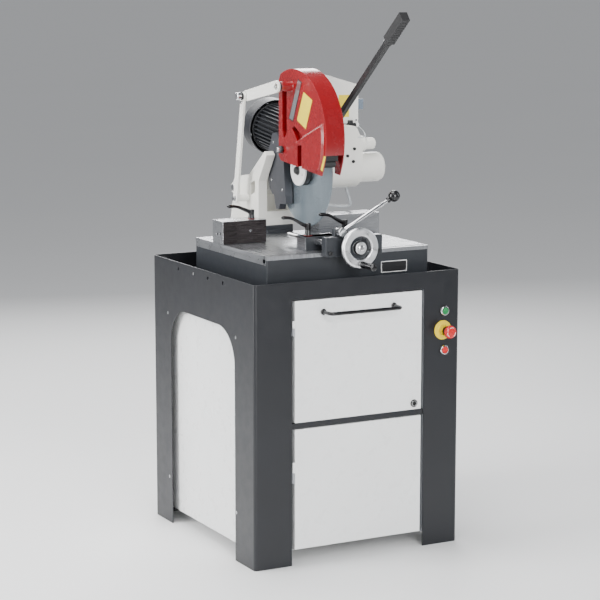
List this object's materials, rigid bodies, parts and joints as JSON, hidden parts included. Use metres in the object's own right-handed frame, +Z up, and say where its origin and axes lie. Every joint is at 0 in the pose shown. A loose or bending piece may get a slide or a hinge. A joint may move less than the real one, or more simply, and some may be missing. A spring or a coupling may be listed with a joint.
{
  "type": "manual circular cold saw",
  "caption": "Manual circular cold saw with a red swing guard and pull lever on a swivelling console, with a screw vise, on a black and white cabinet stand.",
  "frame": {"origin": "on the floor at the centre of the stand's footprint; the stand is symmetric about it, and the lever and motor overhang it by different amounts", "axes": "+Z up, the two doors face -Y, +X is towards the side with the push buttons; the blade stands in the plane X = 0 when the turntable is square"},
  "size_m": [0.704, 0.9231, 1.6418],
  "materials": {
    "frame_black": "satin black powder coat on sheet steel",
    "panel_white": "smooth white paint on sheet steel",
    "cast_dark": "dark grey enamel on cast iron, machined faces bare",
    "machined": "milled and ground bare metal",
    "cast_white": "cream white enamel on castings and plate",
    "guard_red": "glossy deep red paint on pressed sheet",
    "black_plastic": "gloss black moulding and paint",
    "motor_black": "near-black satin paint on a finned aluminium body",
    "cover_grey": "dark grey satin",
    "steel": "plain turned steel",
    "chrome": "polished chrome plate",
    "blade_steel": "ground blue-grey high-speed steel",
    "bronze": "cut bronze",
    "button_green": "green moulding",
    "button_red": "red moulding",
    "collar_yellow": "yellow moulding",
    "hose_grey": "light grey hose"
  },
  "bodies": {
    "stand": {"stand_frame": "frame_black", "tray_floor": "frame_black", "side_panel_left": "panel_white", "side_panel_right": "panel_white", "cabinet_back": "panel_white", "start_button_body": "steel", "stop_button_body": "steel", "estop_collar": "collar_yellow", "upper_door_hinge": "frame_black", "lower_door_hinge": "frame_black", "coolant_tank": "frame_black", "coolant_pump": "motor_black", "bed": "cast_dark", "fence_left": "machined", "fence_right": "machined", "vise_bracket": "cast_dark", "vise_rod_left": "chrome", "vise_rod_right": "chrome"},
    "upper_door": {"upper_door": "panel_white", "door_handle": "black_plastic"},
    "door_lock": {"door_lock": "black_plastic"},
    "lower_door": {"lower_door": "panel_white"},
    "start_button": {"start_button": "button_green"},
    "stop_button": {"stop_button": "button_red"},
    "estop_button": {"estop_button": "button_red"},
    "fence_lever": {"fence_lever": "black_plastic"},
    "vise_jaw": {"vise_jaw": "cast_dark"},
    "jaw_lever_left": {"jaw_lever_left": "black_plastic"},
    "jaw_lever_right": {"jaw_lever_right": "black_plastic"},
    "handwheel": {"vise_spindle": "chrome", "handwheel": "machined"},
    "handwheel_grip": {"handwheel_grip": "black_plastic"},
    "quick_lever": {"quick_lever": "chrome"},
    "turntable": {"turntable": "machined", "console": "cast_white", "pivot_shaft": "steel", "return_spring": "steel", "guard_post": "cast_white", "coolant_hose": "hose_grey"},
    "guard_link": {"guard_link": "cast_white"},
    "head": {"gearbox_housing": "cast_white", "gearbox_cover": "cast_white", "arbor_bearing": "steel", "head_arm": "cast_white", "rear_blade_cover": "cover_grey", "motor_housing": "motor_black", "motor_cowl": "motor_black", "electrical_box": "cast_white", "pull_lever": "black_plastic", "lever_grip": "black_plastic", "guard_bolt": "steel"},
    "motor_rotor": {"motor_rotor": "steel", "motor_fan": "black_plastic"},
    "blade": {"arbor": "steel", "worm_wheel": "bronze", "saw_blade": "blade_steel", "blade_flange": "steel"},
    "speed_switch": {"speed_switch": "cover_grey"},
    "trigger": {"trigger": "button_red"},
    "blade_guard": {"blade_guard": "guard_red"}
  },
  "joints": [
    {"name": "turntable_swivel", "type": "hinge", "parent": "stand", "child": "turntable", "pos_m": [0, 0, 0.93], "axis": [0, 0, 1], "range_deg": [-30, 45]},
    {"name": "head_tilt", "type": "hinge", "parent": "turntable", "child": "head", "pos_m": [0, 0.33, 1.066], "axis": [1, 0, 0], "range_deg": [-22, 10], "deforming": ["coolant_hose"]},
    {"name": "guard_swing", "type": "hinge", "parent": "head", "child": "blade_guard", "pos_m": [-0.05, 0.042, 1.211], "axis": [1, 0, 0], "range_deg": [-16, 34]},
    {"name": "guard_link_swing", "type": "hinge", "parent": "turntable", "child": "guard_link", "pos_m": [-0.1, 0.196, 1.37], "axis": [1, 0, 0], "range_deg": [-25, 12]},
    {"name": "motor_spin", "type": "hinge", "parent": "head", "child": "motor_rotor", "pos_m": [0.09, 0.395, 1.256], "axis": [0, -0.9925, -0.1219], "continuous": true},
    {"name": "blade_spin", "type": "hinge", "parent": "head", "child": "blade", "pos_m": [0, -0.021, 1.15], "axis": [1, 0, 0], "continuous": true},
    {"name": "speed_switch_turn", "type": "hinge", "parent": "head", "child": "speed_switch", "pos_m": [0.215, 0.06, 1.342], "axis": [1, 0, 0], "range_deg": [-45, 45]},
    {"name": "trigger_pull", "type": "hinge", "parent": "head", "child": "trigger", "pos_m": [0.08, -0.41341, 1.58893], "axis": [1, 0, 0], "range_deg": [0, 8], "stiffness_Nm_per_rad": 0.4, "springref_deg": -8.59},
    {"name": "upper_door_swing", "type": "hinge", "parent": "stand", "child": "upper_door", "pos_m": [-0.2225, -0.3635, 0.437], "axis": [0, 0, -1], "range_deg": [0, 110]},
    {"name": "door_lock_turn", "type": "hinge", "parent": "upper_door", "child": "door_lock", "pos_m": [0.1925, -0.362, 0.456], "axis": [0, 1, 0], "range_deg": [0, 90]},
    {"name": "lower_door_swing", "type": "hinge", "parent": "stand", "child": "lower_door", "pos_m": [-0.2225, -0.3635, 0.0495], "axis": [0, 0, -1], "range_deg": [0, 110]},
    {"name": "start_button_press", "type": "slide", "parent": "stand", "child": "start_button", "axis": [0, 1, 0], "range_m": [0, 0.003], "stiffness_N_per_m": 300, "springref_m": -0.001},
    {"name": "stop_button_press", "type": "slide", "parent": "stand", "child": "stop_button", "axis": [0, 1, 0], "range_m": [0, 0.003], "stiffness_N_per_m": 300, "springref_m": -0.001},
    {"name": "estop_button_press", "type": "slide", "parent": "stand", "child": "estop_button", "axis": [0, 1, 0], "range_m": [0, 0.005], "stiffness_N_per_m": 400, "springref_m": -0.001},
    {"name": "fence_lever_turn", "type": "hinge", "parent": "stand", "child": "fence_lever", "pos_m": [-0.161, 0.036, 1.001], "axis": [0, 0, 1], "range_deg": [-60, 90]},
    {"name": "handwheel_spin", "type": "hinge", "parent": "stand", "child": "handwheel", "pos_m": [0, -0.33, 0.9475], "axis": [0, 1, 0], "range_deg": [-2880, 2520]},
    {"name": "handwheel_grip_spin", "type": "hinge", "parent": "handwheel", "child": "handwheel_grip", "pos_m": [0, -0.3695, 0.8995], "axis": [0, 1, 0], "continuous": true},
    {"name": "vise_jaw_slide", "type": "slide", "parent": "stand", "child": "vise_jaw", "axis": [0, 1, 0], "range_m": [-0.0482, 0.0422]},
    {"name": "jaw_lever_left_turn", "type": "hinge", "parent": "vise_jaw", "child": "jaw_lever_left", "pos_m": [-0.092, -0.207, 0.972], "axis": [0, 0, 1], "range_deg": [-20, 70]},
    {"name": "jaw_lever_right_turn", "type": "hinge", "parent": "vise_jaw", "child": "jaw_lever_right", "pos_m": [0.035, -0.207, 0.972], "axis": [0, 0, 1], "range_deg": [-20, 70]},
    {"name": "quick_lever_swing", "type": "hinge", "parent": "stand", "child": "quick_lever", "pos_m": [-0.045, -0.32, 0.9945], "axis": [0, 1, 0], "range_deg": [-25, 42]}
  ],
  "couplings": [
    {"joint": "vise_jaw_slide", "follows": "handwheel_spin", "m_per_rad": 0.00095493},
    {"joint": "guard_swing", "follows": "head_tilt", "ratio": -1.508},
    {"joint": "guard_link_swing", "follows": "head_tilt", "ratio": 1.111},
    {"joint": "blade_spin", "follows": "motor_spin", "ratio": 0.033333}
  ]
}
